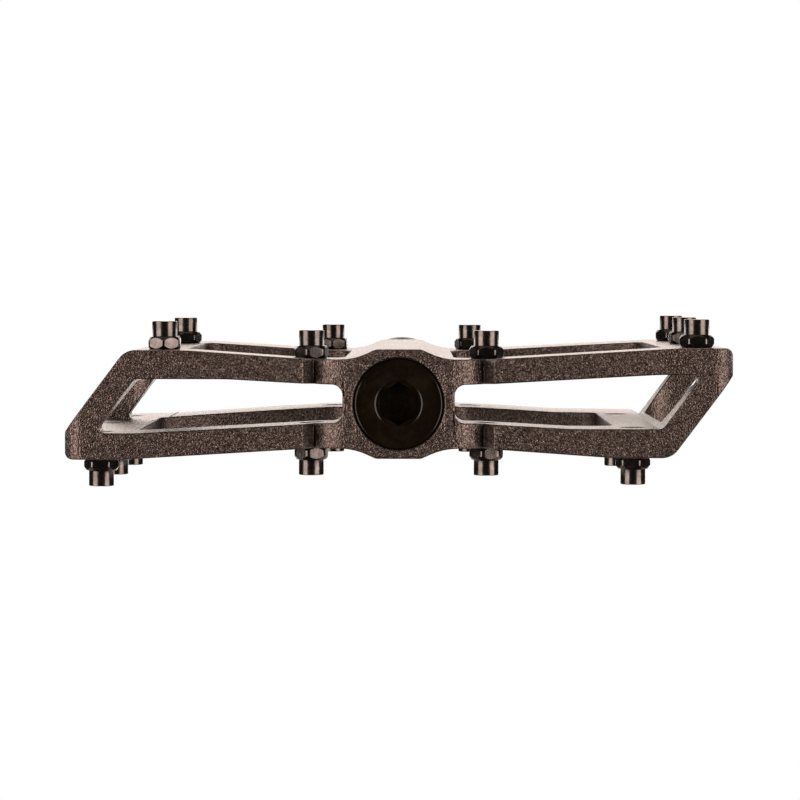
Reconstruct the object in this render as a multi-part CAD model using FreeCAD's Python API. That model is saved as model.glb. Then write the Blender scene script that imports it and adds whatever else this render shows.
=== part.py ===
import FreeCAD, Part

import math
import os

# Right-hand flat pedal: a machined platform with screw-in traction pins, turning on a steel spindle.
# Units are millimetres. +X points forward, +Y runs along the spindle towards the crank arm, +Z is up.
# The origin is on the spindle axis, in the shoulder face that seats against the crank arm.

# --- overall sizes ---
platform_length = 105.8
body_width = 100.0
body_gap_to_crank = 7.0
outboard_y = -(body_gap_to_crank + body_width)
inboard_y = -body_gap_to_crank

# --- cross-section of the body, seen along the spindle: half of it, from top centre to bottom centre ---
boss_half_height = 8.64
boss_crown_half_width = 3.57
plate_root_height = 7.05
flank_foot_x = 7.09
flank_radius = 10.3
boss_crown_radius = 1.5
slope_start_x = 14.0
slope_blend_radius = 60.0
leading_edge_x = platform_length / 2.0
leading_plate_top = 8.90
leading_flat_start_x = 44.0
trailing_plate_top = 8.44
trailing_flat_start_x = 33.75
leading_corner_radius = 1.3
leading_lip_bottom_z = 4.6
leading_lip_radius = 0.7
wall_slope = 0.75
trailing_corner_radius = 3.2

# --- the slot between the two plates, seen along the spindle ---
boss_half_width = 8.86
slot_root_half_height = 3.05
slot_root_radius = 1.7
slot_slope_start_x = 12.5
leading_inner_height = 4.70
leading_inner_flat_x = 41.2
trailing_inner_height = 3.86
trailing_inner_flat_x = 27.2
slanted_wall_inner_x = 44.54
slot_tip_radius = 0.85
slot_heel_radius = 1.3

# --- openings seen from above, measured inward from the outboard face ---
outboard_bar_depth = 13.0
opening_far_depth = 75.0
opening_bend_x = 20.3
opening_knee_x = 33.5
opening_knee_depth = 71.6
opening_knee_radius = 10.0
leading_opening_corner_depth = 67.0
trailing_opening_corner_depth = 71.3
leading_rail_inner_x = 42.5
trailing_rail_inner_x = 34.7
opening_corner_radius = 3.5
opening_bend_radius = 14.0
side_pocket_x = 42.2
side_pocket_start = 7.5
side_pocket_end = 57.0
far_pocket_start = 63.0
far_mouth_x = 40.9
side_pocket_radius = 5.0

# --- outline of the body seen from above ---
boss_round_start_x = 7.7
boss_round_radius = 6.8
boss_round_end_angle = 39.9
groove_bottom_x = 13.5
groove_bottom_depth = 2.9
groove_bar_side_x = 15.1
outboard_corner_radius = 3.0
shoulder_depth = 79.0
knee_x = 46.0
knee_depth = 87.5
inboard_bar_x = 21.0
inboard_bar_depth = 97.0
boss_neck_x = 11.6
boss_neck_radius = 2.0
shoulder_radius = 9.0
inboard_bend_radius = 14.0

# --- traction pins: one size, screwed in from outside ---
pin_hex_across_flats = 5.0
pin_hex_corner_radius = 2.80
pin_hex_height = 2.0
pin_hex_chamfer = 0.32
pin_hex_chamfer_height = 0.5
pin_post_radius = 2.0
pin_post_height = 2.5
pin_post_chamfer = 0.12
pin_shank_length = 3.5
pin_thread_radius = 2.0
thread_gap = 0.03
spot_face_radius = 3.15
pin_hole_depth = 6.0

# --- spindle and its bearings, depths measured inward from the outboard face ---
cap_recess = 0.8
cap_face_thickness = 4.2
cap_thread_radius = 7.25
cap_chamfer = 0.15
cap_socket_across_flats = 6.0
cap_socket_depth = 3.2
cap_socket_chamfer_radius = 3.8
cap_skirt_inner_radius = 5.7
mouth_chamfer = 0.25
mouth_chamfer_depth = 0.145
bearing_depth = 11.3
bearing_width = 5.0
bearing_bore_radius = 3.0
bearing_outer_radius = 6.5
bearing_shoulder_radius = 5.5
inner_race_outer_radius = 3.95
outer_race_inner_radius = 5.55
ball_pitch_radius = 4.75
ball_radius = 0.99
raceway_radius = 1.03
ball_count = 8
cage_inner_radius = 4.4
cage_outer_radius = 5.1
cage_half_width = 1.35
cage_pocket_radius = 1.06
cage_pocket_start_radius = 3.0
shield_inner_radius = 4.1
shield_outer_radius = 5.75
shield_thickness = 0.25
washer_outer_radius = 4.3
washer_thickness = 0.8
nut_across_flats = 9.0
nut_height = 4.5
nut_chamfer = 0.5
spindle_stub_past_nut = 0.4
relief_start_depth = 24.0
relief_radius = 6.5
bush_depth = 82.0
bush_length = 13.0
bush_outer_radius = 7.0
seal_depth = 96.2
seal_width = 3.2
seal_outer_radius = 7.8
seal_lip_radius = 6.05
running_clearance = 0.03
press_clearance = 0.01
spindle_outer_end_radius = 4.0
spindle_journal_radius = 6.0
spindle_journal_start = 78.0
spindle_taper_start = 30.0
wrench_across_flats = 15.0
wrench_round_radius = 8.3
wrench_start_y = -6.4
flange_radius = 9.0
flange_thickness = 1.6
crank_thread_radius = 7.144
crank_thread_length = 14.5
crank_thread_chamfer = 0.9
key_across_flats = 8.0
key_depth = 9.0
bearing_nut_chamfer = 0.4

# --- where the pins stand on the top face; the bottom face is the same, half a turn round the axis ---
bottom_turn_angle = 180.0
plate_tops = {"leading": leading_plate_top, "trailing": trailing_plate_top, "centre": plate_root_height}
pin_places = {
    "leading_pin_1": (47.5, 7.5),
    "leading_pin_2": (48.1, 42.0),
    "leading_pin_3": (48.1, 73.5),
    "trailing_pin_1": (-37.4, 7.5),
    "trailing_pin_2": (-37.85, 65.0),
    "centre_pin_1": (-13.96, 7.5),
    "centre_pin_2": (13.96, 7.5),
    "centre_pin_3": (-12.4, 86.6),
    "centre_pin_4": (12.4, 86.6),
}
pin_turns = {
    "top_leading_pin_1": 0.0,
    "top_leading_pin_2": 40.0,
    "top_leading_pin_3": 12.0,
    "top_trailing_pin_1": 30.0,
    "top_trailing_pin_2": 8.0,
    "top_centre_pin_1": 18.0,
    "top_centre_pin_2": 0.0,
    "top_centre_pin_3": 25.0,
    "top_centre_pin_4": 50.0,
    "bottom_leading_pin_1": 0.0,
    "bottom_leading_pin_2": 21.0,
    "bottom_leading_pin_3": 33.0,
    "bottom_trailing_pin_1": 12.0,
    "bottom_trailing_pin_2": 47.0,
    "bottom_centre_pin_1": -16.0,
    "bottom_centre_pin_2": -20.0,
    "bottom_centre_pin_3": 5.0,
    "bottom_centre_pin_4": 36.0,
}

# margins that carry a cutting tool past the surface it cuts
overshoot = 5.0
spindle_axis = FreeCAD.Vector(0, 1, 0)
up = FreeCAD.Vector(0, 0, 1)
origin = FreeCAD.Vector(0, 0, 0)


def at_depth(depth):
    """Y of a plane that lies this far inward from the outboard face."""
    return outboard_y + depth


def rounded_outline(corners, place):
    """Closed wire through (u, v, radius) corners, each corner replaced by a tangent arc of its radius."""
    count = len(corners)
    entries = []
    exits = []
    middles = []
    for index, (u, v, radius) in enumerate(corners):
        here = FreeCAD.Vector(u, v, 0)
        before = FreeCAD.Vector(*corners[index - 1][:2], 0)
        after = FreeCAD.Vector(*corners[(index + 1) % count][:2], 0)
        back = (before - here).normalize()
        ahead = (after - here).normalize()
        half_angle = back.getAngle(ahead) / 2.0
        reach = radius / math.tan(half_angle)
        bisector = (back + ahead).normalize()
        entries.append(here + back * reach)
        exits.append(here + ahead * reach)
        middles.append(here + bisector * (radius / math.sin(half_angle) - radius))
    edges = []
    for index in range(count):
        following = (index + 1) % count
        if corners[index][2] > 0:
            arc_points = [place(point) for point in (entries[index], middles[index], exits[index])]
            edges.append(Part.Arc(*arc_points).toShape())
        start = place(exits[index])
        end = place(entries[following])
        if start.distanceToPoint(end) > 1e-6:
            edges.append(Part.makeLine(start, end))
    return Part.Wire(edges)


def prism_along_spindle(corners, start_y, end_y):
    """Solid whose (x, z) outline is carried along Y."""
    wire = rounded_outline(corners, lambda point: FreeCAD.Vector(point.x, start_y, point.y))
    return Part.Face(wire).extrude(FreeCAD.Vector(0, end_y - start_y, 0))


def prism_upright(corners, low_z, high_z):
    """Solid whose (x, depth) outline is carried up from low_z to high_z."""
    wire = rounded_outline(corners, lambda point: FreeCAD.Vector(point.x, at_depth(point.y), low_z))
    return Part.Face(wire).extrude(FreeCAD.Vector(0, 0, high_z - low_z))


def half_turn(shape):
    """Copy turned half a turn about the spindle axis, which swaps the top and bottom faces."""
    turned = shape.copy()
    turned.rotate(origin, spindle_axis, bottom_turn_angle)
    return turned


def revolved(profile):
    """Solid of revolution about the spindle axis from (radius, y) corners."""
    points = [FreeCAD.Vector(radius, y, 0) for radius, y in profile]
    return Part.Face(Part.makePolygon(points + points[:1])).revolve(origin, spindle_axis, 360)


def ring(inner_radius, outer_radius, start_y, end_y):
    """Plain ring on the spindle axis."""
    start = [(inner_radius, start_y), (outer_radius, start_y)]
    end = [(outer_radius, end_y), (inner_radius, end_y)]
    return revolved(start + end)


def hex_prism(across_flats, start, direction, height, turn=0.0):
    """Hexagonal prism; at turn 0 its corners lie along Z, or along X when it stands upright."""
    corner_radius = across_flats / math.sqrt(3.0)
    base = FreeCAD.Vector(0, 0, 1) if direction.z == 0 else FreeCAD.Vector(1, 0, 0)
    points = []
    for step in range(6):
        spoke = FreeCAD.Rotation(direction, turn + 60.0 * step).multVec(base)
        points.append(start + spoke * corner_radius)
    return Part.Face(Part.makePolygon(points + points[:1])).extrude(direction * height)


def wall_outer_x(height):
    """X of the slanted outer wall at this height."""
    return leading_edge_x + wall_slope * (height - leading_lip_bottom_z)


def wall_inner_x(height):
    """X of the slanted wall's inner face at this height."""
    return slanted_wall_inner_x + wall_slope * height


def body_cross_section():
    """Corners of the outer cross-section: one half, then the same half turned about the axis."""
    half = [
        (boss_crown_half_width, boss_half_height, boss_crown_radius),
        (flank_foot_x, plate_root_height, flank_radius),
        (slope_start_x, plate_root_height, slope_blend_radius),
        (leading_flat_start_x, leading_plate_top, slope_blend_radius),
        (leading_edge_x, leading_plate_top, leading_corner_radius),
        (leading_edge_x, leading_lip_bottom_z, leading_lip_radius),
        (wall_outer_x(-trailing_plate_top), -trailing_plate_top, trailing_corner_radius),
        (trailing_flat_start_x, -trailing_plate_top, slope_blend_radius),
        (slope_start_x, -plate_root_height, slope_blend_radius),
        (flank_foot_x, -plate_root_height, flank_radius),
        (boss_crown_half_width, -boss_half_height, boss_crown_radius),
    ]
    return half + [(-x, -z, radius) for x, z, radius in half]


def slot_cross_section():
    """Corners of the slot between the plates on the +X side of the boss."""
    return [
        (boss_half_width, slot_root_half_height, slot_root_radius),
        (slot_slope_start_x, slot_root_half_height, slope_blend_radius),
        (leading_inner_flat_x, leading_inner_height, slope_blend_radius),
        (wall_inner_x(leading_inner_height), leading_inner_height, slot_tip_radius),
        (wall_inner_x(-trailing_inner_height), -trailing_inner_height, slot_heel_radius),
        (trailing_inner_flat_x, -trailing_inner_height, slope_blend_radius),
        (slot_slope_start_x, -slot_root_half_height, slope_blend_radius),
        (boss_half_width, -slot_root_half_height, slot_root_radius),
    ]


def body_plan_outline():
    """Corners of the body's outline seen from above, as (x, depth, radius)."""
    side = [
        (leading_edge_x, 0.0, outboard_corner_radius),
        (leading_edge_x, shoulder_depth, shoulder_radius),
        (knee_x, knee_depth, shoulder_radius),
        (inboard_bar_x, inboard_bar_depth, inboard_bend_radius),
        (boss_neck_x, inboard_bar_depth, boss_neck_radius),
        (boss_neck_x - boss_neck_radius, body_width, 0.0),
    ]
    return side + [(-x, depth, radius) for x, depth, radius in reversed(side)]


def opening_outline(outer_x, outer_corners):
    """Corners of a platform opening beside the boss; outer_corners bound its inboard end at the rail."""
    return [
        (boss_half_width, outboard_bar_depth, opening_corner_radius),
        (outer_x, outboard_bar_depth, opening_corner_radius),
        *outer_corners,
        (opening_bend_x, opening_far_depth, opening_bend_radius),
        (boss_half_width, opening_far_depth, opening_corner_radius),
    ]


def boss_round_point(side, angle):
    """Point on the rounded edge of the boss's outboard face, this many degrees round from the face."""
    turn = math.radians(angle)
    x = boss_round_start_x + boss_round_radius * math.sin(turn)
    depth = boss_round_radius * (1.0 - math.cos(turn))
    return FreeCAD.Vector(side * x, at_depth(depth), -platform_length)


def groove_cutter(side):
    """Rounds the boss's outboard edge and cuts an upright V groove beside the bar; side is +1 or -1."""
    boss_lip = boss_round_point(side, 0.0)
    boss_middle = boss_round_point(side, boss_round_end_angle / 2.0)
    crease = boss_round_point(side, boss_round_end_angle)
    bottom = FreeCAD.Vector(side * groove_bottom_x, at_depth(groove_bottom_depth), -platform_length)
    bar_lip = FreeCAD.Vector(side * groove_bar_side_x, at_depth(0), -platform_length)
    outside = FreeCAD.Vector(0, -overshoot, 0)
    edges = [
        Part.Arc(boss_lip, boss_middle, crease).toShape(),
        Part.makeLine(crease, bottom),
        Part.makeLine(bottom, bar_lip),
        Part.makeLine(bar_lip, bar_lip + outside),
        Part.makeLine(bar_lip + outside, boss_lip + outside),
        Part.makeLine(boss_lip + outside, boss_lip),
    ]
    return Part.Face(Part.Wire(edges)).extrude(FreeCAD.Vector(0, 0, 2 * platform_length))


def body_bore():
    """The bore through the boss: cap thread, bearing seat, shoulder, relief, bush and seal seats."""
    steps = [
        (cap_thread_radius + mouth_chamfer, at_depth(-overshoot)),
        (cap_thread_radius + mouth_chamfer, at_depth(0)),
        (cap_thread_radius, at_depth(mouth_chamfer_depth)),
        (cap_thread_radius, at_depth(bearing_depth)),
        (bearing_outer_radius, at_depth(bearing_depth)),
        (bearing_outer_radius, at_depth(bearing_depth + bearing_width)),
        (bearing_shoulder_radius, at_depth(bearing_depth + bearing_width)),
        (bearing_shoulder_radius, at_depth(relief_start_depth)),
        (relief_radius, at_depth(relief_start_depth + relief_radius - bearing_shoulder_radius)),
        (relief_radius, at_depth(bush_depth)),
        (bush_outer_radius, at_depth(bush_depth)),
        (bush_outer_radius, at_depth(seal_depth)),
        (seal_outer_radius, at_depth(seal_depth)),
        (seal_outer_radius, inboard_y + overshoot),
    ]
    return revolved([(0, at_depth(-overshoot))] + steps + [(0, inboard_y + overshoot)])


def side_pocket(start, end, end_radius):
    """Pocket through the slanted wall from this depth to that, milled upright up to the upper plate."""
    corners = [
        (side_pocket_x, start, side_pocket_radius),
        (platform_length, start, 0.0),
        (platform_length, end, 0.0),
        (side_pocket_x, end, end_radius),
    ]
    return prism_upright(corners, -platform_length, leading_inner_height)


def far_slot_mouth():
    """Clears the foot of the slanted wall off the lower plate beyond the far pocket's start."""
    corners = [
        (far_mouth_x, far_pocket_start, 0.0),
        (platform_length, far_pocket_start, 0.0),
        (platform_length, body_width + overshoot, 0.0),
        (far_mouth_x, body_width + overshoot, 0.0),
    ]
    return prism_upright(corners, -trailing_inner_height, leading_inner_height)


def pedal_body():
    """One machined piece: boss, two slotted plates, slanted end walls, openings, bores and pin holes."""
    body = prism_along_spindle(body_cross_section(), outboard_y, inboard_y)
    body = body.common(prism_upright(body_plan_outline(), -platform_length, platform_length))
    slot = prism_along_spindle(slot_cross_section(), outboard_y - overshoot, inboard_y + overshoot)
    leading_corners = [
        (leading_rail_inner_x, leading_opening_corner_depth, opening_corner_radius),
        (opening_knee_x, opening_knee_depth, opening_knee_radius),
    ]
    leading_outline = opening_outline(leading_rail_inner_x, leading_corners)
    leading_opening = prism_upright(leading_outline, 0, platform_length)
    trailing_corners = [(trailing_rail_inner_x, trailing_opening_corner_depth, opening_corner_radius)]
    trailing_outline = opening_outline(trailing_rail_inner_x, trailing_corners)
    mirrored_outline = [(-x, depth, radius) for x, depth, radius in trailing_outline]
    trailing_opening = half_turn(prism_upright(mirrored_outline, 0, platform_length))
    cutters = [slot, leading_opening, trailing_opening]
    cutters.append(side_pocket(side_pocket_start, side_pocket_end, side_pocket_radius))
    cutters.append(side_pocket(far_pocket_start, body_width + overshoot, 0.0))
    cutters.append(far_slot_mouth())
    cutters += [half_turn(cutter) for cutter in cutters]
    cutters += [groove_cutter(1), groove_cutter(-1), body_bore()]
    for name, (x, depth) in pin_places.items():
        seat_z = plate_tops[name.split("_")[0]]
        seat = FreeCAD.Vector(x, at_depth(depth), seat_z)
        hole_bottom = seat - up * pin_hole_depth
        hole = Part.makeCylinder(pin_thread_radius, platform_length, hole_bottom, up)
        hole = hole.fuse(Part.makeCylinder(spot_face_radius, overshoot, seat, up))
        cutters += [hole, half_turn(hole)]
    return body.cut(cutters)


def traction_pin(seat, turn):
    """Hexagonal base with chamfered corners, round post above it and threaded shank below."""
    corner_radius = pin_hex_corner_radius
    low_z = seat.z
    high_z = seat.z + pin_hex_height
    hexagon = hex_prism(pin_hex_across_flats, seat, up, pin_hex_height, turn)
    trim = Part.makeCone(corner_radius - pin_hex_chamfer, corner_radius, pin_hex_chamfer_height, seat, up)
    straight = pin_hex_height - 2 * pin_hex_chamfer_height
    straight_base = seat + up * pin_hex_chamfer_height
    trim = trim.fuse(Part.makeCylinder(corner_radius, straight, straight_base, up))
    top_base = seat + up * (pin_hex_height - pin_hex_chamfer_height)
    top_radius = corner_radius - pin_hex_chamfer
    trim = trim.fuse(Part.makeCone(corner_radius, top_radius, pin_hex_chamfer_height, top_base, up))
    post_straight = pin_post_height - pin_post_chamfer
    post = Part.makeCylinder(pin_post_radius, post_straight, FreeCAD.Vector(seat.x, seat.y, high_z), up)
    tip_base = FreeCAD.Vector(seat.x, seat.y, high_z + post_straight)
    tip = Part.makeCone(pin_post_radius, pin_post_radius - pin_post_chamfer, pin_post_chamfer, tip_base, up)
    shank_radius = pin_thread_radius - thread_gap
    shank_base = FreeCAD.Vector(seat.x, seat.y, low_z - pin_shank_length)
    shank = Part.makeCylinder(shank_radius, pin_shank_length, shank_base, up)
    return hexagon.common(trim).fuse([post, tip, shank]).removeSplitter()


def all_traction_pins():
    """Nine pins on the top face and the same nine turned to the bottom face."""
    pins = {}
    for name, (x, depth) in pin_places.items():
        seat = FreeCAD.Vector(x, at_depth(depth), plate_tops[name.split("_")[0]])
        pins["top_" + name] = traction_pin(seat, pin_turns["top_" + name])
        pins["bottom_" + name] = half_turn(traction_pin(seat, pin_turns["bottom_" + name]))
    return pins


def end_cap():
    """Threaded cap with a hexagon socket outside and a skirt that clamps the outer race."""
    radius = cap_thread_radius - thread_gap
    face_y = at_depth(cap_recess)
    floor_y = at_depth(cap_recess + cap_face_thickness)
    skirt_end_y = at_depth(bearing_depth)
    cap = revolved([
        (0, face_y),
        (radius - cap_chamfer, face_y),
        (radius, face_y + cap_chamfer),
        (radius, skirt_end_y),
        (cap_skirt_inner_radius, skirt_end_y),
        (cap_skirt_inner_radius, floor_y),
        (0, floor_y),
    ])
    face_centre = FreeCAD.Vector(0, face_y, 0)
    socket = hex_prism(cap_socket_across_flats, face_centre, spindle_axis, cap_socket_depth)
    lead_in = cap_socket_chamfer_radius - cap_socket_across_flats / 2.0
    inner_radius = cap_socket_chamfer_radius - lead_in
    funnel = Part.makeCone(cap_socket_chamfer_radius, inner_radius, lead_in, face_centre, spindle_axis)
    return cap.cut([socket, funnel])


def lock_nut():
    """Hexagonal nut that clamps the inner race against the spindle's shoulder."""
    end_y = at_depth(bearing_depth - washer_thickness)
    start_y = end_y - nut_height
    start = FreeCAD.Vector(0, start_y, 0)
    corner_radius = nut_across_flats / math.sqrt(3.0)
    nut = hex_prism(nut_across_flats, start, spindle_axis, nut_height)
    trim = revolved([
        (bearing_bore_radius + thread_gap, start_y),
        (corner_radius - nut_chamfer, start_y),
        (corner_radius, start_y + nut_chamfer),
        (corner_radius, end_y - nut_chamfer),
        (corner_radius - nut_chamfer, end_y),
        (bearing_bore_radius + thread_gap, end_y),
    ])
    return nut.common(trim)


def lock_washer():
    """Small washer between the nut and the inner race."""
    end_y = at_depth(bearing_depth)
    return ring(bearing_bore_radius + thread_gap, washer_outer_radius, end_y - washer_thickness, end_y)


def raceway():
    """Ring-shaped groove that the balls run in."""
    middle = FreeCAD.Vector(0, at_depth(bearing_depth + bearing_width / 2.0), 0)
    return Part.makeTorus(ball_pitch_radius, raceway_radius, middle, spindle_axis)


def bearing_inner_race():
    """Inner ring of the cartridge bearing."""
    start_y = at_depth(bearing_depth)
    end_y = start_y + bearing_width
    bore_radius = bearing_bore_radius + press_clearance
    return ring(bore_radius, inner_race_outer_radius, start_y, end_y).cut(raceway())


def bearing_outer_race():
    """Outer ring of the cartridge bearing, pressed into the body, with a seat for each shield."""
    start_y = at_depth(bearing_depth)
    end_y = start_y + bearing_width
    race = ring(outer_race_inner_radius, bearing_outer_radius - press_clearance, start_y, end_y)
    seats = [ring(0, shield_outer_radius, start_y, start_y + shield_thickness)]
    seats.append(ring(0, shield_outer_radius, end_y - shield_thickness, end_y))
    return race.cut([raceway()] + seats)


def bearing_shield(start_y):
    """Thin ring that closes one side of the bearing."""
    end_y = start_y + shield_thickness
    return ring(shield_inner_radius, shield_outer_radius - press_clearance, start_y, end_y)


def ball_centres():
    """Centres of the balls, evenly spaced round the bearing."""
    middle_y = at_depth(bearing_depth + bearing_width / 2.0)
    angles = [2.0 * math.pi * index / ball_count for index in range(ball_count)]
    outward = [FreeCAD.Vector(math.cos(angle), 0, math.sin(angle)) for angle in angles]
    middle = FreeCAD.Vector(0, middle_y, 0)
    return [middle + direction * ball_pitch_radius for direction in outward]


def bearing_balls():
    """The balls, as one group of solids."""
    return Part.makeCompound([Part.makeSphere(ball_radius, centre) for centre in ball_centres()])


def ball_cage():
    """Ring with a pocket round each ball."""
    middle_y = at_depth(bearing_depth + bearing_width / 2.0)
    low_y = middle_y - cage_half_width
    cage = ring(cage_inner_radius, cage_outer_radius, low_y, low_y + 2.0 * cage_half_width)
    middle = FreeCAD.Vector(0, middle_y, 0)
    pockets = []
    for centre in ball_centres():
        outward = (centre - middle).normalize()
        start = middle + outward * cage_pocket_start_radius
        pockets.append(Part.makeCylinder(cage_pocket_radius, ball_pitch_radius, start, outward))
    return cage.cut(pockets)


def inboard_bush():
    """Plain bush that carries the spindle's journal at the crank end."""
    inner_radius = spindle_journal_radius + running_clearance
    start_y = at_depth(bush_depth)
    return ring(inner_radius, bush_outer_radius - press_clearance, start_y, start_y + bush_length)


def inboard_seal():
    """Rubber lip seal that closes the body's crank end."""
    start_y = at_depth(seal_depth)
    return ring(seal_lip_radius, seal_outer_radius - press_clearance, start_y, start_y + seal_width)


def spindle():
    """Steel spindle: nut thread, bearing seat, taper, journal, wrench flats, flange, crank thread."""
    nut_end_y = at_depth(bearing_depth - washer_thickness - nut_height - spindle_stub_past_nut)
    shoulder_y = at_depth(bearing_depth + bearing_width)
    thread_end_y = crank_thread_length
    turned = revolved([
        (0, nut_end_y),
        (bearing_bore_radius - bearing_nut_chamfer, nut_end_y),
        (bearing_bore_radius, nut_end_y + bearing_nut_chamfer),
        (bearing_bore_radius, shoulder_y),
        (spindle_outer_end_radius, shoulder_y),
        (spindle_outer_end_radius, at_depth(spindle_taper_start)),
        (spindle_journal_radius, at_depth(spindle_journal_start)),
        (spindle_journal_radius, wrench_start_y),
        (wrench_round_radius, wrench_start_y),
        (wrench_round_radius, -flange_thickness),
        (flange_radius, -flange_thickness),
        (flange_radius, 0),
        (crank_thread_radius, 0),
        (crank_thread_radius, thread_end_y - crank_thread_chamfer),
        (crank_thread_radius - crank_thread_chamfer, thread_end_y),
        (0, thread_end_y),
    ])
    key_start = FreeCAD.Vector(0, thread_end_y - key_depth, 0)
    key = hex_prism(key_across_flats, key_start, spindle_axis, key_depth)
    half_flats = wrench_across_flats / 2.0
    flat_length = -flange_thickness - wrench_start_y
    low_corner = FreeCAD.Vector(-flange_radius, wrench_start_y, half_flats)
    top_flat = Part.makeBox(2 * flange_radius, flat_length, flange_radius, low_corner)
    return turned.cut([key, top_flat, half_turn(top_flat)])


def build_pieces():
    """Every separate piece of the pedal under its node name."""
    bearing_start_y = at_depth(bearing_depth)
    bearing_end_y = bearing_start_y + bearing_width
    pieces = {
        "pedal_body": pedal_body(),
        "end_cap": end_cap(),
        "spindle": spindle(),
        "lock_nut": lock_nut(),
        "lock_washer": lock_washer(),
        "bearing_inner_race": bearing_inner_race(),
        "bearing_outer_race": bearing_outer_race(),
        "bearing_outboard_shield": bearing_shield(bearing_start_y),
        "bearing_inboard_shield": bearing_shield(bearing_end_y - shield_thickness),
        "ball_cage": ball_cage(),
        "bearing_balls": bearing_balls(),
        "inboard_bush": inboard_bush(),
        "inboard_seal": inboard_seal(),
    }
    pieces.update(all_traction_pins())
    return pieces


os.makedirs("parts", exist_ok=True)
for node, shape in build_pieces().items():
    shape.exportStep("parts/" + node + ".step")
    print(node, "solids", len(shape.Solids), "valid", shape.isValid(), "volume", round(shape.Volume, 1))
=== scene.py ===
import math

import bmesh
import bpy
import numpy as np
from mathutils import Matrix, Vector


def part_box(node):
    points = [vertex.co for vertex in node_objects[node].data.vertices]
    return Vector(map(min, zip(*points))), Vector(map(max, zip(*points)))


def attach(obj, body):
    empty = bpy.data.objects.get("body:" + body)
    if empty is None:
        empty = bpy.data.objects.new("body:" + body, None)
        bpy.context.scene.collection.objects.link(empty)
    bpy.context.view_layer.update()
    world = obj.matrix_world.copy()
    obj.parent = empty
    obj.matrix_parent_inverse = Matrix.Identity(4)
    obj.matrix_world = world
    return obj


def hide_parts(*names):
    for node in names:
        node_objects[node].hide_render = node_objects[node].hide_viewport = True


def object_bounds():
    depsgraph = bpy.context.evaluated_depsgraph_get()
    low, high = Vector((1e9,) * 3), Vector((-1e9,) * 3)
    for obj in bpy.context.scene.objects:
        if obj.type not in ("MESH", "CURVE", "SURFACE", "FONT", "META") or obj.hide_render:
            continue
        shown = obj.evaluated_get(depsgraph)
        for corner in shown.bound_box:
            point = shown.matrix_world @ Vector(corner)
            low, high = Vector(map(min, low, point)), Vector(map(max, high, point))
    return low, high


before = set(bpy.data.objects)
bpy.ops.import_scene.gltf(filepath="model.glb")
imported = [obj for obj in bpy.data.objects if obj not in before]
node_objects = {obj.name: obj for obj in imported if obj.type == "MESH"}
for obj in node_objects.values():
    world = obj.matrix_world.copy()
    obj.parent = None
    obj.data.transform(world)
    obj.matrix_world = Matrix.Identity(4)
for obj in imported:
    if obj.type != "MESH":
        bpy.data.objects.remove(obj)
cad_low, cad_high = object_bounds()
scene = bpy.context.scene

# ---------------------------------------------------------------------------------------------
# Studio. The pedal is held clear above a small pale table, low enough for the platform to turn
# right over, in front of a pale sweep, with a tall soft light on each side of the lens.
# ---------------------------------------------------------------------------------------------

lens_to_face = 0.550
lens_forward = 0.00334
lens_height = 0.01893
lens_pitch = math.radians(1.902)
lens_yaw = math.radians(0.328)
lens_roll = math.radians(-0.12)
focal_length = 157.2
outboard_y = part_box("pedal_body")[0].y

camera_data = bpy.data.cameras.new("camera")
camera_data.lens = focal_length
camera_data.sensor_width = 36.0
camera_data.clip_start = 0.01
camera = bpy.data.objects.new("camera", camera_data)
camera.location = (lens_forward, outboard_y - lens_to_face, lens_height)
camera.rotation_euler = (math.pi / 2.0 - lens_pitch, lens_roll, lens_yaw)
scene.collection.objects.link(camera)
scene.camera = camera
scene.view_settings.view_transform = "Standard"


def start_material(name, colour, metallic, roughness, specular=0.5):
    """New material whose uniform values sit on its shader; returns it with its nodes, links and shader."""
    material = bpy.data.materials.new(name)
    material.use_nodes = True
    tree = material.node_tree
    shader = tree.nodes["Principled BSDF"]
    shader.inputs["Base Color"].default_value = (*colour, 1.0)
    shader.inputs["Metallic"].default_value = metallic
    shader.inputs["Roughness"].default_value = roughness
    shader.inputs["Specular IOR Level"].default_value = specular
    return material, tree, shader


def noise_on(tree, scale, detail, stretch=(1.0, 1.0, 1.0)):
    """Noise over the piece's own coordinates in metres; scale is features per metre."""
    place = tree.nodes.new("ShaderNodeTexCoord")
    mapping = tree.nodes.new("ShaderNodeMapping")
    mapping.inputs["Scale"].default_value = stretch
    noise = tree.nodes.new("ShaderNodeTexNoise")
    noise.inputs["Scale"].default_value = scale
    noise.inputs["Detail"].default_value = detail
    tree.links.new(place.outputs["Object"], mapping.inputs["Vector"])
    tree.links.new(mapping.outputs["Vector"], noise.inputs["Vector"])
    return noise.outputs["Fac"]


def blend_colours(tree, value, first, second):
    """Colour between first and second by value."""
    node = tree.nodes.new("ShaderNodeMix")
    node.data_type = "RGBA"
    for socket, colour in (("A_Color", first), ("B_Color", second)):
        target = next(entry for entry in node.inputs if entry.identifier == socket)
        if hasattr(colour, "links"):
            tree.links.new(colour, target)
        else:
            target.default_value = (*colour, 1.0)
    factor = next(entry for entry in node.inputs if entry.identifier == "Factor_Float")
    tree.links.new(value, factor)
    return next(entry for entry in node.outputs if entry.identifier == "Result_Color")


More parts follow.
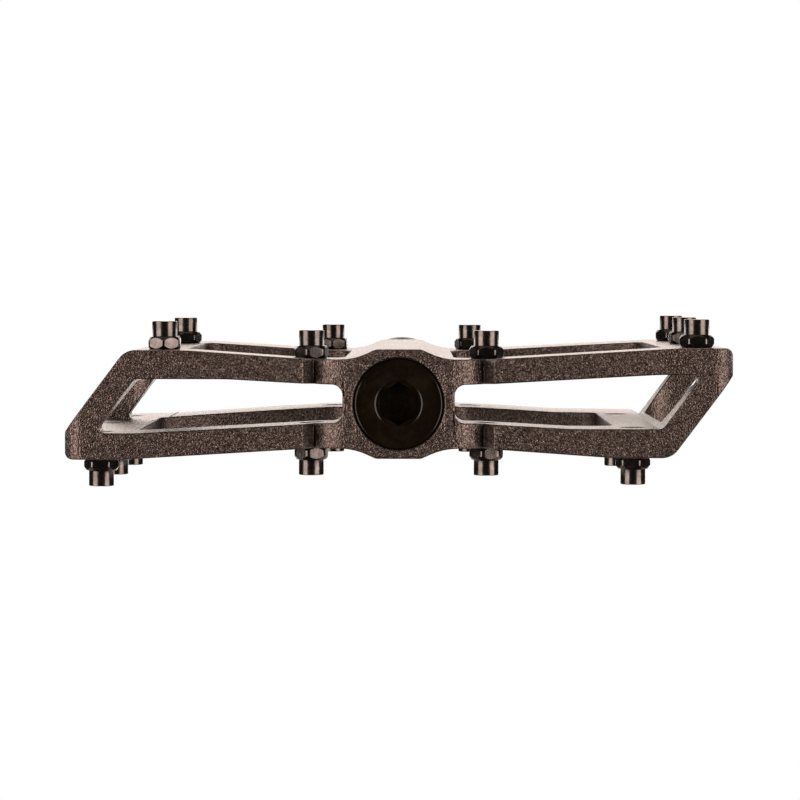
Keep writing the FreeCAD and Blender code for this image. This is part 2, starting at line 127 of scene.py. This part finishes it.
floor_half_width = 0.13
floor_half_depth = 0.077
floor_centre_y = -0.026
floor_squareness = 0.25
floor_rings = 24
floor_steps = 96
floor_clearance = 0.0010
floor_tone = (0.15, 0.15, 0.15)
floor_tone_dark = (0.14, 0.14, 0.14)
floor_tone_light = (0.17, 0.17, 0.17)
floor_glow = 0.97
pure_white = (1.0, 1.0, 1.0, 1.0)
floor_material, floor_tree, floor_shader = start_material("pale_floor", floor_tone, 0.0, 0.85, 0.0)
floor_grain = noise_on(floor_tree, 900.0, 3.0)
floor_colour = blend_colours(floor_tree, floor_grain, floor_tone_dark, floor_tone_light)
floor_tree.links.new(floor_colour, floor_shader.inputs["Base Color"])
floor_shader.inputs["Emission Color"].default_value = pure_white
floor_shader.inputs["Emission Strength"].default_value = floor_glow


def table_points(height):
    """Rounded rectangle: centre + t * (a sign(c) |c|^q, b sign(s) |s|^q).

    c and s are the angle's cosine and sine, t the share of the way out, and q the squareness.
    """
    share = np.linspace(1.0 / floor_rings, 1.0, floor_rings)[:, None]
    angle = np.linspace(0.0, 2.0 * np.pi, floor_steps, endpoint=False)[None, :]
    across = np.sign(np.cos(angle)) * np.abs(np.cos(angle)) ** floor_squareness
    along = np.sign(np.sin(angle)) * np.abs(np.sin(angle)) ** floor_squareness
    x = floor_half_width * share * across
    y = floor_centre_y + floor_half_depth * share * along
    return np.stack([x, y, np.full_like(x, height)], axis=2)


def sheet_mesh(name, points):
    """Open mesh from rows of points whose columns close on themselves."""
    rows, columns = points.shape[:2]
    index = np.arange(rows * columns).reshape(rows, columns)
    beside = np.roll(index, -1, axis=1)
    faces = np.stack([index[:-1], index[1:], beside[1:], beside[:-1]], axis=2).reshape(-1, 4)
    mesh = bpy.data.meshes.new(name)
    inner = index[0].tolist()
    mesh.from_pydata(points.reshape(-1, 3).tolist(), [], faces.tolist() + [inner])
    mesh.update()
    return mesh


swept_radius = math.hypot(cad_high.x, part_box("pedal_body")[1].z)
floor_mesh = sheet_mesh("studio_floor", table_points(-swept_radius - floor_clearance))
floor = bpy.data.objects.new("studio_floor", floor_mesh)
floor.data.materials.append(floor_material)
scene.collection.objects.link(floor)


def softbox(name, side_angle, height, distance, width, tall, power, tint):
    """Rectangular soft light at an angle from the lens direction, aimed at the middle of the platform."""
    light_data = bpy.data.lights.new(name, "AREA")
    light_data.shape = "RECTANGLE"
    light_data.size = width
    light_data.size_y = tall
    light_data.energy = power
    light_data.color = tint
    light = bpy.data.objects.new(name, light_data)
    turn = math.radians(side_angle)
    middle_y = outboard_y / 2.0
    place = np.array([math.sin(turn) * distance, middle_y - math.cos(turn) * distance, height])
    aim = np.array([0.0, middle_y, 0.0]) - place
    flat = math.hypot(aim[0], aim[1])
    light.location = place
    light.rotation_euler = (math.pi / 2.0 + math.atan2(aim[2], flat), 0.0, math.atan2(-aim[0], aim[1]))
    scene.collection.objects.link(light)


side_light = (0.02, 0.75, 0.54, 0.7, 12.5, (1.0, 0.93, 0.88))
overhead_light = (0.9, 0.05, 1.2, 1.2, 4.0, (1.0, 0.96, 0.93))
rear_light = (0.25, 0.9, 0.4, 0.4, 2.0, (1.0, 0.97, 0.94))
softbox("left_softbox", -54.0, *side_light)
softbox("right_softbox", 54.0, *side_light)
softbox("overhead_softbox", 180.0, *overhead_light)
softbox("rear_left_softbox", -140.0, *rear_light)
softbox("rear_right_softbox", 140.0, *rear_light)

sweep_edge = 0.42
sweep_full = 0.20
sweep_front = 0.0
sweep_back = 0.35
sweep_light = 2.5
room_light = 0.03
sweep_tint = (1.0, 0.89, 0.82, 1.0)
world = bpy.data.worlds.new("studio_world")
scene.world = world
world.use_nodes = True
world_nodes = world.node_tree.nodes
world_links = world.node_tree.links


def world_math(operation, first, second=None):
    """One arithmetic step on values or numbers."""
    node = world_nodes.new("ShaderNodeMath")
    node.operation = operation
    for socket, value in zip(node.inputs, (first, second)):
        if hasattr(value, "links"):
            world_links.new(value, socket)
        elif value is not None:
            socket.default_value = value
    return node.outputs["Value"]


def smooth_step(value, start, end, low, high):
    """Smooth change from low to high as the value goes from start to end."""
    node = world_nodes.new("ShaderNodeMapRange")
    node.interpolation_type = "SMOOTHSTEP"
    node.inputs["From Min"].default_value = start
    node.inputs["From Max"].default_value = end
    node.inputs["To Min"].default_value = low
    node.inputs["To Max"].default_value = high
    world_links.new(value, node.inputs["Value"])
    return node.outputs["Result"]


room = world_nodes["Background"]
room.inputs["Color"].default_value = sweep_tint
direction = world_nodes.new("ShaderNodeTexCoord")
axes = world_nodes.new("ShaderNodeSeparateXYZ")
world_links.new(direction.outputs["Generated"], axes.inputs["Vector"])
sideways = world_math("ABSOLUTE", axes.outputs["X"])
across = smooth_step(sideways, sweep_full, sweep_edge, 1.0, 0.0)
behind = smooth_step(axes.outputs["Y"], sweep_front, sweep_back, 0.0, sweep_light)
sweep = world_math("MULTIPLY", across, behind)
world_links.new(world_math("ADD", sweep, room_light), room.inputs["Strength"])
seen = world_nodes.new("ShaderNodeBackground")
seen.inputs["Color"].default_value = pure_white
rays = world_nodes.new("ShaderNodeLightPath")
choice = world_nodes.new("ShaderNodeMixShader")
world_links.new(rays.outputs["Is Camera Ray"], choice.inputs["Fac"])
world_links.new(room.outputs["Background"], choice.inputs[1])
world_links.new(seen.outputs["Background"], choice.inputs[2])
world_links.new(choice.outputs["Shader"], world_nodes["World Output"].inputs["Surface"])

# ---------------------------------------------------------------------------------------------
# Platform body. One piece of aluminium, cut from an extruded section, bead-blasted to an even
# fine grain and anodised a dark bronze black. Its sharp edges are broken by a small chamfer.
# ---------------------------------------------------------------------------------------------

edge_break = 0.00018
crease_angle = math.radians(28.0)
break_angle = math.radians(35.0)
closest_angle = math.radians(10.0)
flat_angle = math.radians(0.4)
join_distance = 0.00002
grains_per_metre = 3400.0
pits_per_metre = 3700.0
pit_depth = 0.00017
body_brown = (0.0475, 0.0333, 0.0284)
body_grain_dark = (0.0195, 0.0130, 0.0108)
body_grain_light = (0.0790, 0.0563, 0.0481)


def grains_on(tree, scale):
    """A random value for each grain of a cell pattern; scale is grains per metre."""
    place = tree.nodes.new("ShaderNodeTexCoord")
    cells = tree.nodes.new("ShaderNodeTexVoronoi")
    cells.inputs["Scale"].default_value = scale
    split = tree.nodes.new("ShaderNodeSeparateColor")
    tree.links.new(place.outputs["Object"], cells.inputs["Vector"])
    tree.links.new(cells.outputs["Color"], split.inputs["Color"])
    return split.outputs["Red"]


def spread(tree, value, low, high, value_low=0.3, value_high=0.7):
    """Maps a pattern's values from value_low..value_high to low..high."""
    node = tree.nodes.new("ShaderNodeMapRange")
    node.inputs["From Min"].default_value = value_low
    node.inputs["From Max"].default_value = value_high
    node.inputs["To Min"].default_value = low
    node.inputs["To Max"].default_value = high
    tree.links.new(value, node.inputs["Value"])
    return node.outputs["Result"]


def bump_from(tree, shader, height, strength, distance):
    """Surface relief of this depth in metres from a height pattern."""
    bump = tree.nodes.new("ShaderNodeBump")
    bump.inputs["Strength"].default_value = strength
    bump.inputs["Distance"].default_value = distance
    tree.links.new(height, bump.inputs["Height"])
    tree.links.new(bump.outputs["Normal"], shader.inputs["Normal"])


def blasted_material():
    """Dark anodised aluminium: a cell pattern of blasted grains over slow changes of tone."""
    material, tree, shader = start_material("blasted_anodised", body_brown, 0.85, 0.32, 0.3)
    grains = spread(tree, grains_on(tree, grains_per_metre), 0.0, 1.0, 0.0, 1.0)
    tone = blend_colours(tree, grains, body_grain_dark, body_grain_light)
    clouds = spread(tree, noise_on(tree, 60.0, 3.0), 0.0, 0.35)
    tree.links.new(blend_colours(tree, clouds, tone, body_brown), shader.inputs["Base Color"])
    tree.links.new(spread(tree, noise_on(tree, 2600.0, 2.0), 0.26, 0.38), shader.inputs["Roughness"])
    bump_from(tree, shader, noise_on(tree, pits_per_metre, 1.0), 1.0, pit_depth)
    return material


def has_close_neighbour(edge):
    """True where another edge leaves one of this edge's ends at less than a small angle to it."""
    for end in edge.verts:
        along = edge.other_vert(end).co - end.co
        others = [other for other in end.link_edges if other is not edge]
        if any(along.angle(other.other_vert(end).co - end.co) < closest_angle for other in others):
            return True
    return False


def merged_copy(node, name):
    """Mesh of a CAD node with doubled points joined, flat faces whole and sharp edges weighted."""
    mesh = node_objects[node].data.copy()
    mesh.name = name
    work = bmesh.new()
    work.from_mesh(mesh)
    bmesh.ops.remove_doubles(work, verts=work.verts, dist=join_distance)
    bmesh.ops.dissolve_limit(work, angle_limit=flat_angle, verts=work.verts, edges=work.edges)
    weight = work.edges.layers.float.new("bevel_weight_edge")
    for edge in work.edges:
        if edge.calc_face_angle(0.0) > break_angle and not has_close_neighbour(edge):
            edge[weight] = 1.0
    work.to_mesh(mesh)
    work.free()
    mesh.materials.clear()
    return mesh


def place_piece(name, mesh, material, body, finish_slot, *nodes):
    """Puts a finished mesh in the scene on its body, in place of these CAD nodes."""
    piece = bpy.data.objects.new(name, mesh)
    mesh.materials.append(material)
    mesh.shade_smooth()
    mesh.set_sharp_from_angle(angle=crease_angle)
    scene.collection.objects.link(piece)
    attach(piece, body)
    if nodes:
        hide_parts(*nodes)
    return piece


def break_edges(piece, width, segments):
    """Small rounded chamfer along every weighted edge."""
    edges = piece.modifiers.new("edge_break", "BEVEL")
    edges.width = width
    edges.segments = segments
    edges.limit_method = "WEIGHT"
    edges.use_clamp_overlap = False
    edges.miter_outer = "MITER_SHARP"


body_mesh = merged_copy("pedal_body", "platform_body")
body_material = blasted_material()
platform_body = place_piece(
    "platform_body", body_mesh, body_material, "platform", "body_aluminium", "pedal_body"
)
break_edges(platform_body, edge_break, 2)

# ---------------------------------------------------------------------------------------------
# Traction pins. Eighteen alike, of blackened steel: a hexagon chamfered at both ends, a plain
# round post above it, and a threaded shank below it that screws into the platform.
# ---------------------------------------------------------------------------------------------

pin_columns = 72
pin_half_flats = 0.00250
pin_corner_radius = 0.00280
pin_hex_height = 0.00200
pin_hex_end_radius = 0.00240
pin_hex_chamfer = 0.00062
pin_post_radius = 0.00200
pin_post_height = 0.00250
pin_post_fillet = 0.00014
pin_fillet_share = 0.3
pin_tip_break = 0.00009
pin_shank_length = 0.00350
pin_shank_end_radius = 0.00125
pin_thread_root = 0.00162
pin_thread_depth = 0.00034
pin_thread_pitch = 0.00070
pin_thread_start = 0.00325
pin_thread_end = 0.00040
pin_thread_rows = 34
ridge_steepness = 1.25
ridge_cut = 0.08
corner_share = 0.998
pin_black = (0.036, 0.029, 0.026)
pin_worn = (0.062, 0.051, 0.046)


def around(columns):
    """Angles evenly spaced round the axis, as one row."""
    return np.linspace(0.0, 2.0 * np.pi, columns, endpoint=False)[None, :]


def hexagon_radius(angle, half_flats):
    """Distance to a hexagon's side: half_flats / cos(angle from the middle of the nearest side)."""
    return half_flats / np.cos((angle + np.pi / 6.0) % (np.pi / 3.0) - np.pi / 6.0)


def thread_ridge(angle, along, pitch):
    """Height of a right-hand thread from 0 to 1: a wave of one pitch whose phase turns with the angle."""
    phase = (along / pitch + angle / (2.0 * np.pi)) % 1.0
    return np.clip(ridge_steepness * np.abs(2.0 * phase - 1.0) - ridge_cut, 0.0, 1.0)


def stacked(angle, *rows):
    """Whole grids of radius and distance along the axis, from (radius, along) rows in order."""
    grids = [np.broadcast_arrays(radius, along, angle)[:2] for radius, along in rows]
    return [np.vstack(part) for part in zip(*grids)]


def turned_points(angle, radius, along):
    """Grid of points: (radius cos(angle), along, radius sin(angle))."""
    return np.stack([radius * np.cos(angle), along, radius * np.sin(angle)], axis=2)


def closed_mesh(name, points, ring_like=False):
    """Mesh from rows of points whose columns join up; the end rows are filled, or joined in a ring."""
    rows, columns = points.shape[:2]
    index = np.arange(rows * columns).reshape(rows, columns)
    ahead = np.roll(index, -1, axis=0) if ring_like else index[1:]
    here = index if ring_like else index[:-1]
    faces = np.stack([here, ahead, np.roll(ahead, -1, axis=1), np.roll(here, -1, axis=1)], axis=2)
    polygons = faces.reshape(-1, 4).tolist()
    if not ring_like:
        polygons += [index[0].tolist(), index[-1][::-1].tolist()]
    mesh = bpy.data.meshes.new(name)
    mesh.from_pydata(points.reshape(-1, 3).tolist(), [], polygons)
    mesh.update()
    return mesh


def blackened_material():
    """Blackened steel: satin, with fine drawn marks, a mottled oxide and lighter worn patches."""
    material, tree, shader = start_material("blackened_steel", pin_black, 0.95, 0.22)
    patches = spread(tree, noise_on(tree, 900.0, 4.0), 0.0, 1.0, 0.42, 0.75)
    tree.links.new(blend_colours(tree, patches, pin_black, pin_worn), shader.inputs["Base Color"])
    tree.links.new(spread(tree, noise_on(tree, 2200.0, 3.0), 0.16, 0.26), shader.inputs["Roughness"])
    bump_from(tree, shader, noise_on(tree, 2400.0, 3.0, (1.0, 1.0, 0.25)), 0.5, 0.000015)
    return material


def pin_points(turn):
    """Pin standing along +Y from its seat; each side ends where the chamfer's cone meets it."""
    angle = around(pin_columns)
    side = np.minimum(hexagon_radius(angle + np.pi / 6.0, pin_half_flats), pin_corner_radius)
    reach = (side - pin_hex_end_radius) * pin_hex_chamfer / (pin_corner_radius - pin_hex_end_radius)
    thread_along = np.linspace(-pin_thread_start, -pin_thread_end, pin_thread_rows)[:, None]
    thread = pin_thread_root + pin_thread_depth * thread_ridge(angle, thread_along, pin_thread_pitch)
    tip = pin_hex_height + pin_post_height
    fillet_middle = pin_fillet_share * pin_post_fillet
    radius, along = stacked(
        angle,
        (pin_shank_end_radius, -pin_shank_length),
        (thread, thread_along),
        (pin_thread_root, 0.0),
        (pin_hex_end_radius, 0.0),
        (side, reach),
        (side, pin_hex_height - reach),
        (pin_hex_end_radius, pin_hex_height),
        (pin_post_radius + pin_post_fillet, pin_hex_height),
        (pin_post_radius + fillet_middle, pin_hex_height + fillet_middle),
        (pin_post_radius, pin_hex_height + pin_post_fillet),
        (pin_post_radius, tip - pin_tip_break),
        (pin_post_radius - pin_tip_break, tip),
    )
    return turned_points(angle + turn, radius, along)


pin_material = blackened_material()
for pin_node in [name for name in node_objects if "_pin_" in name]:
    cad_points = np.array([vertex.co for vertex in node_objects[pin_node].data.vertices])
    pin_low = cad_points.min(axis=0)
    pin_high = cad_points.max(axis=0)
    middle = (pin_low + pin_high) / 2.0
    offsets = cad_points - middle
    spokes = offsets[:, 0] + 1j * offsets[:, 1]
    corners = spokes[np.abs(spokes) > corner_share * np.abs(spokes).max()]
    corner_angle = np.angle(((corners / np.abs(corners)) ** 6).mean()) / 6.0
    if pin_node.startswith("top"):
        upright = pin_points(-corner_angle)[:, :, [0, 2, 1]] * (1.0, -1.0, 1.0)
        seat_z = pin_low[2] + pin_shank_length
    else:
        upright = pin_points(corner_angle - np.pi)[:, :, [0, 2, 1]] * (-1.0, -1.0, -1.0)
        seat_z = pin_high[2] - pin_shank_length
    in_place = upright + (middle[0], middle[1], seat_z)
    pin_mesh = closed_mesh("pin_" + pin_node, in_place)
    place_piece("pin_" + pin_node, pin_mesh, pin_material, "platform", "pin_steel", pin_node)

# ---------------------------------------------------------------------------------------------
# End cap. Turned aluminium, anodised gloss black, screwed into the outboard end of the bore. A
# hexagon socket with a round lead-in takes the key, and the skirt behind clamps the bearing. The
# face is dished a little inside a narrow rim.
# ---------------------------------------------------------------------------------------------

cap_columns = 144
cap_radius = 0.00722
cap_thread_root = 0.00690
cap_thread_pitch = 0.00100
cap_thread_rows = 60
cap_thread_start = 0.00060
cap_thread_end = 0.00030
cap_collar = 0.00050
cap_face_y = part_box("end_cap")[0].y
cap_end_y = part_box("end_cap")[1].y
cap_face_break = 0.00020
cap_rim_radius = 0.00686
cap_rim_width = 0.00012
cap_dish_depth = 0.00007
cap_socket_half_flats = 0.00300
cap_lead_in_radius = 0.00380
cap_lead_in_width = 0.00020
cap_lead_in_depth = 0.00011
cap_counterbore_radius = 0.00354
cap_counterbore_depth = 0.00060
cap_socket_depth = 0.00320
cap_drill_depth = 0.00370
cap_drill_share = 0.8
cap_wall = 0.00420
cap_skirt_radius = 0.00570
cap_centre_radius = 0.00012
turning_rings_scale = 1400.0
turning_rings_wobble = 0.6
cap_black = (0.0040, 0.0022, 0.0011)
cap_sheen = (0.0075, 0.0045, 0.0025)


def black_anodised_material():
    """Gloss black anodising with faint turning rings and a few dull smears."""
    material, tree, shader = start_material("black_anodised", cap_black, 0.30, 0.20, 0.14)
    smears = spread(tree, noise_on(tree, 420.0, 4.0), 0.0, 1.0, 0.45, 0.70)
    tree.links.new(blend_colours(tree, smears, cap_black, cap_sheen), shader.inputs["Base Color"])
    tree.links.new(spread(tree, noise_on(tree, 1500.0, 2.0), 0.16, 0.30), shader.inputs["Roughness"])
    place = tree.nodes.new("ShaderNodeTexCoord")
    rings = tree.nodes.new("ShaderNodeTexWave")
    rings.wave_type = "RINGS"
    rings.rings_direction = "Y"
    rings.inputs["Scale"].default_value = turning_rings_scale
    rings.inputs["Distortion"].default_value = turning_rings_wobble
    tree.links.new(place.outputs["Object"], rings.inputs["Vector"])
    bump_from(tree, shader, rings.outputs["Fac"], 0.15, 0.000004)
    return material


def cap_points():
    """Cap from the socket floor out over the face, along the thread and back up the skirt's inside."""
    angle = around(cap_columns)
    socket = hexagon_radius(angle, cap_socket_half_flats)
    thread_start_y = cap_face_y + cap_thread_start
    dish_y = cap_face_y + cap_dish_depth
    thread_along = np.linspace(thread_start_y, cap_end_y - cap_thread_end, cap_thread_rows)[:, None]
    ridge = thread_ridge(angle, thread_along, cap_thread_pitch)
    thread = cap_thread_root + (cap_radius - cap_thread_root) * ridge
    radius, along = stacked(
        angle,
        (cap_centre_radius, cap_face_y + cap_drill_depth),
        (cap_drill_share * cap_socket_half_flats, cap_face_y + cap_socket_depth),
        (socket, cap_face_y + cap_socket_depth),
        (socket, cap_face_y + cap_counterbore_depth),
        (cap_counterbore_radius, cap_face_y + cap_counterbore_depth),
        (cap_lead_in_radius - cap_lead_in_width, dish_y + cap_lead_in_depth),
        (cap_lead_in_radius, dish_y),
        (cap_rim_radius - cap_rim_width, dish_y),
        (cap_rim_radius, cap_face_y),
        (cap_radius - cap_face_break, cap_face_y),
        (cap_radius, cap_face_y + cap_face_break),
        (cap_radius, cap_face_y + cap_collar),
        (thread, thread_along),
        (cap_thread_root, cap_end_y),
        (cap_skirt_radius, cap_end_y),
        (cap_skirt_radius, cap_face_y + cap_wall),
        (cap_centre_radius, cap_face_y + cap_wall),
    )
    return turned_points(angle, radius, along)


cap_mesh = closed_mesh("cap", cap_points())
cap_material = black_anodised_material()
place_piece("cap", cap_mesh, cap_material, "platform", "cap_aluminium", "end_cap")

# ---------------------------------------------------------------------------------------------
# Spindle. One forged and turned bar of alloy steel, ground at the journal and bearing seat, with
# a nut thread at its outer end and, at the crank, two wrench flats, a flange and a key socket.
# ---------------------------------------------------------------------------------------------

spindle_columns = 120
spindle_start_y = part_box("spindle")[0].y
spindle_end_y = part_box("spindle")[1].y
nut_thread_radius = 0.00300
nut_thread_root = 0.00264
nut_thread_pitch = 0.00075
nut_thread_end_y = -0.09600
nut_thread_rows = 44
nut_thread_start = 0.00040
nut_thread_run_out = 0.00020
nut_tip_step = 0.00030
nut_shoulder_y = -0.09070
outer_shaft_radius = 0.00400
taper_start_y = -0.07700
taper_end_y = -0.02900
taper_rows = 12
journal_radius = 0.00600
wrench_start_y = -0.00640
wrench_end_y = -0.00160
wrench_round_radius = 0.00830
wrench_half_flats = 0.00750
flange_radius = 0.00900
flange_break = 0.00025
crank_thread_radius = 0.007144
crank_thread_root = 0.00640
crank_thread_pitch = 0.00127
crank_thread_rows = 96
crank_thread_end = 0.00030
crank_neck_end_y = 0.00070
crank_end_radius = 0.00624
key_half_flats = 0.00400
key_lead_in_radius = 0.00485
key_depth = 0.00900
key_drill_point = 0.00080
shoulder_break = 0.00020
least_sine = 0.1
spindle_centre_radius = 0.00015
spindle_grey = (0.330, 0.325, 0.320)
spindle_dull = (0.210, 0.205, 0.200)


def steel_material(name, bright, dull, roughness_low, roughness_high, stretch):
    """Machined steel: turning marks stretched round the work, faint stains and uneven polish."""
    material, tree, shader = start_material(name, bright, 1.0, roughness_low)
    stains = spread(tree, noise_on(tree, 350.0, 4.0), 0.0, 0.5)
    tree.links.new(blend_colours(tree, stains, bright, dull), shader.inputs["Base Color"])
    polish = spread(tree, noise_on(tree, 1200.0, 3.0), roughness_low, roughness_high)
    tree.links.new(polish, shader.inputs["Roughness"])
    bump_from(tree, shader, noise_on(tree, 900.0, 3.0, stretch), 0.35, 0.000012)
    return material


def spindle_points():
    """Spindle from its outer end to the crank; radius is cut to the wrench flats where they lie."""
    angle = around(spindle_columns)
    across_flats = wrench_half_flats / np.maximum(np.abs(np.sin(angle)), least_sine)
    flats = np.minimum(wrench_round_radius, across_flats)
    key = hexagon_radius(angle, key_half_flats)
    nut_start_y = spindle_start_y + nut_thread_start
    nut_along = np.linspace(nut_start_y, nut_thread_end_y, nut_thread_rows)[:, None]
    nut_ridge = thread_ridge(angle, nut_along, nut_thread_pitch)
    nut_thread = nut_thread_root + (nut_thread_radius - nut_thread_root) * nut_ridge
    taper_along = np.linspace(taper_start_y, taper_end_y, taper_rows)[:, None]
    taper = np.linspace(outer_shaft_radius, journal_radius, taper_rows)[:, None]
    crank_stop_y = spindle_end_y - crank_thread_end
    crank_along = np.linspace(crank_neck_end_y, crank_stop_y, crank_thread_rows)[:, None]
    crank_ridge = thread_ridge(angle, crank_along, crank_thread_pitch)
    crank_thread = crank_thread_root + (crank_thread_radius - crank_thread_root) * crank_ridge
    end_cone = crank_end_radius + (spindle_end_y - crank_along)
    radius, along = stacked(
        angle,
        (nut_thread_root - nut_tip_step, spindle_start_y),
        (nut_thread, nut_along),
        (nut_thread_radius, nut_thread_end_y + nut_thread_run_out),
        (nut_thread_radius, nut_shoulder_y),
        (outer_shaft_radius - shoulder_break, nut_shoulder_y),
        (outer_shaft_radius, nut_shoulder_y + shoulder_break),
        (taper, taper_along),
        (journal_radius, wrench_start_y),
        (flats - shoulder_break, wrench_start_y),
        (flats, wrench_start_y + shoulder_break),
        (flats, wrench_end_y),
        (flange_radius - flange_break, wrench_end_y),
        (flange_radius, wrench_end_y + flange_break),
        (flange_radius, -flange_break),
        (flange_radius - flange_break, 0.0),
        (crank_thread_root, 0.0),
        (np.minimum(crank_thread, end_cone), crank_along),
        (crank_end_radius, spindle_end_y),
        (key_lead_in_radius, spindle_end_y),
        (key, spindle_end_y - (key_lead_in_radius - key)),
        (key, spindle_end_y - key_depth),
        (spindle_centre_radius, spindle_end_y - key_depth - key_drill_point),
    )
    return turned_points(angle, radius, along)


turned_marks = (1.0, 6.0, 1.0)
spindle_material = steel_material("turned_steel", spindle_grey, spindle_dull, 0.20, 0.38, turned_marks)
spindle_mesh = closed_mesh("axle", spindle_points())
place_piece("axle", spindle_mesh, spindle_material, "spindle_assembly", "spindle_steel", "spindle")

# ---------------------------------------------------------------------------------------------
# Bearing, nut and washer. A cartridge ball bearing with ground races, bright balls in a brass
# cage and a thin steel shield on each side; a zinc-plated nut and washer hold it on the spindle.
# ---------------------------------------------------------------------------------------------

race_bright = (0.560, 0.555, 0.550)
race_dull = (0.420, 0.415, 0.410)
zinc_bright = (0.520, 0.530, 0.545)
zinc_dull = (0.360, 0.370, 0.385)
shield_bright = (0.470, 0.470, 0.465)
shield_dull = (0.330, 0.330, 0.325)
brass_bright = (0.640, 0.430, 0.170)
brass_dull = (0.450, 0.290, 0.110)
small_edge_break = 0.00006


def carried_piece(node, material, body, finish_slot, edge_width=0.0):
    """The CAD piece itself with joined points, its own finish and, if asked, broken edges."""
    name = node + "_piece"
    piece = place_piece(name, merged_copy(node, name), material, body, finish_slot, node)
    if edge_width:
        break_edges(piece, edge_width, 2)


race_material = steel_material("ground_race", race_bright, race_dull, 0.10, 0.24, (1.0, 5.0, 1.0))
zinc_material = steel_material("zinc_plated", zinc_bright, zinc_dull, 0.26, 0.44, (1.0, 1.0, 1.0))
shield_material = steel_material("pressed_shield", shield_bright, shield_dull, 0.22, 0.40, (2.0, 1.0, 1.0))
brass_material = steel_material("brass_cage", brass_bright, brass_dull, 0.24, 0.42, (1.0, 3.0, 1.0))
carried_piece("bearing_inner_race", race_material, "spindle_assembly", "bearing_steel", small_edge_break)
carried_piece("bearing_outer_race", race_material, "platform", "bearing_steel", small_edge_break)
carried_piece("bearing_balls", race_material, "ball_set", "bearing_steel")
carried_piece("ball_cage", brass_material, "ball_set", "cage_brass")
carried_piece("bearing_outboard_shield", shield_material, "platform", "shield_steel")
carried_piece("bearing_inboard_shield", shield_material, "platform", "shield_steel")
carried_piece("lock_nut", zinc_material, "spindle_assembly", "zinc_steel", small_edge_break)
carried_piece("lock_washer", zinc_material, "spindle_assembly", "zinc_steel", small_edge_break)

# ---------------------------------------------------------------------------------------------
# Bush and seal at the crank end. The bush is a moulded black polymer sleeve pressed into the
# boss; the seal is a rubber ring with a stepped face and a thin lip that wipes the journal.
# ---------------------------------------------------------------------------------------------

bush_grey = (0.045, 0.044, 0.042)
bush_pale = (0.080, 0.078, 0.074)
rubber_black = (0.012, 0.012, 0.012)
rubber_dusty = (0.040, 0.038, 0.036)
seal_columns = 120
seal_start_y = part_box("inboard_seal")[0].y
seal_end_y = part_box("inboard_seal")[1].y
seal_outer_radius = 0.00779
seal_lip_radius = 0.00605
seal_step_radius = 0.00728
seal_groove_radius = 0.00668
seal_groove_depth = 0.00055
seal_heel_chamfer = 0.00020
seal_face_chamfer = 0.00030
seal_draft = 0.00010
seal_lip_chamfer = 0.00020
seal_lip_land = 0.00040
seal_lip_root = 0.00120
seal_lip_flare = 0.00060


def soft_material(name, dark, pale, roughness_low, roughness_high, grain):
    """Polymer or rubber: matt, with a moulded grain and dust that gathers in patches."""
    material, tree, shader = start_material(name, dark, 0.0, roughness_high, 0.4)
    dust = spread(tree, noise_on(tree, 500.0, 4.0), 0.0, 1.0, 0.40, 0.80)
    tree.links.new(blend_colours(tree, dust, dark, pale), shader.inputs["Base Color"])
    sheen = spread(tree, noise_on(tree, grain, 2.0), roughness_low, roughness_high)
    tree.links.new(sheen, shader.inputs["Roughness"])
    bump_from(tree, shader, noise_on(tree, grain, 3.0), 0.4, 0.00002)
    return material


def seal_points():
    """Ring section carried round the axis: outer wall, chamfer, step, groove, lip and bore."""
    angle = around(seal_columns)
    radius, along = stacked(
        angle,
        (seal_outer_radius, seal_start_y + seal_heel_chamfer),
        (seal_outer_radius, seal_end_y - seal_face_chamfer),
        (seal_outer_radius - seal_face_chamfer, seal_end_y),
        (seal_step_radius, seal_end_y),
        (seal_step_radius - seal_draft, seal_end_y - seal_groove_depth),
        (seal_groove_radius, seal_end_y - seal_groove_depth),
        (seal_groove_radius - seal_draft, seal_end_y - seal_draft),
        (seal_lip_radius + seal_lip_chamfer, seal_end_y - seal_draft),
        (seal_lip_radius, seal_end_y - seal_lip_land),
        (seal_lip_radius + seal_lip_chamfer, seal_start_y + seal_lip_root),
        (seal_lip_radius + seal_lip_flare, seal_start_y),
        (seal_outer_radius - seal_heel_chamfer, seal_start_y),
    )
    return turned_points(angle, radius, along)


bush_material = soft_material("bush_polymer", bush_grey, bush_pale, 0.38, 0.55, 1400.0)
rubber_material = soft_material("seal_rubber", rubber_black, rubber_dusty, 0.55, 0.75, 2000.0)
carried_piece("inboard_bush", bush_material, "platform", "bush_polymer", small_edge_break)
seal_mesh = closed_mesh("lip_seal", seal_points(), True)
place_piece("lip_seal", seal_mesh, rubber_material, "platform", "seal_rubber", "inboard_seal")
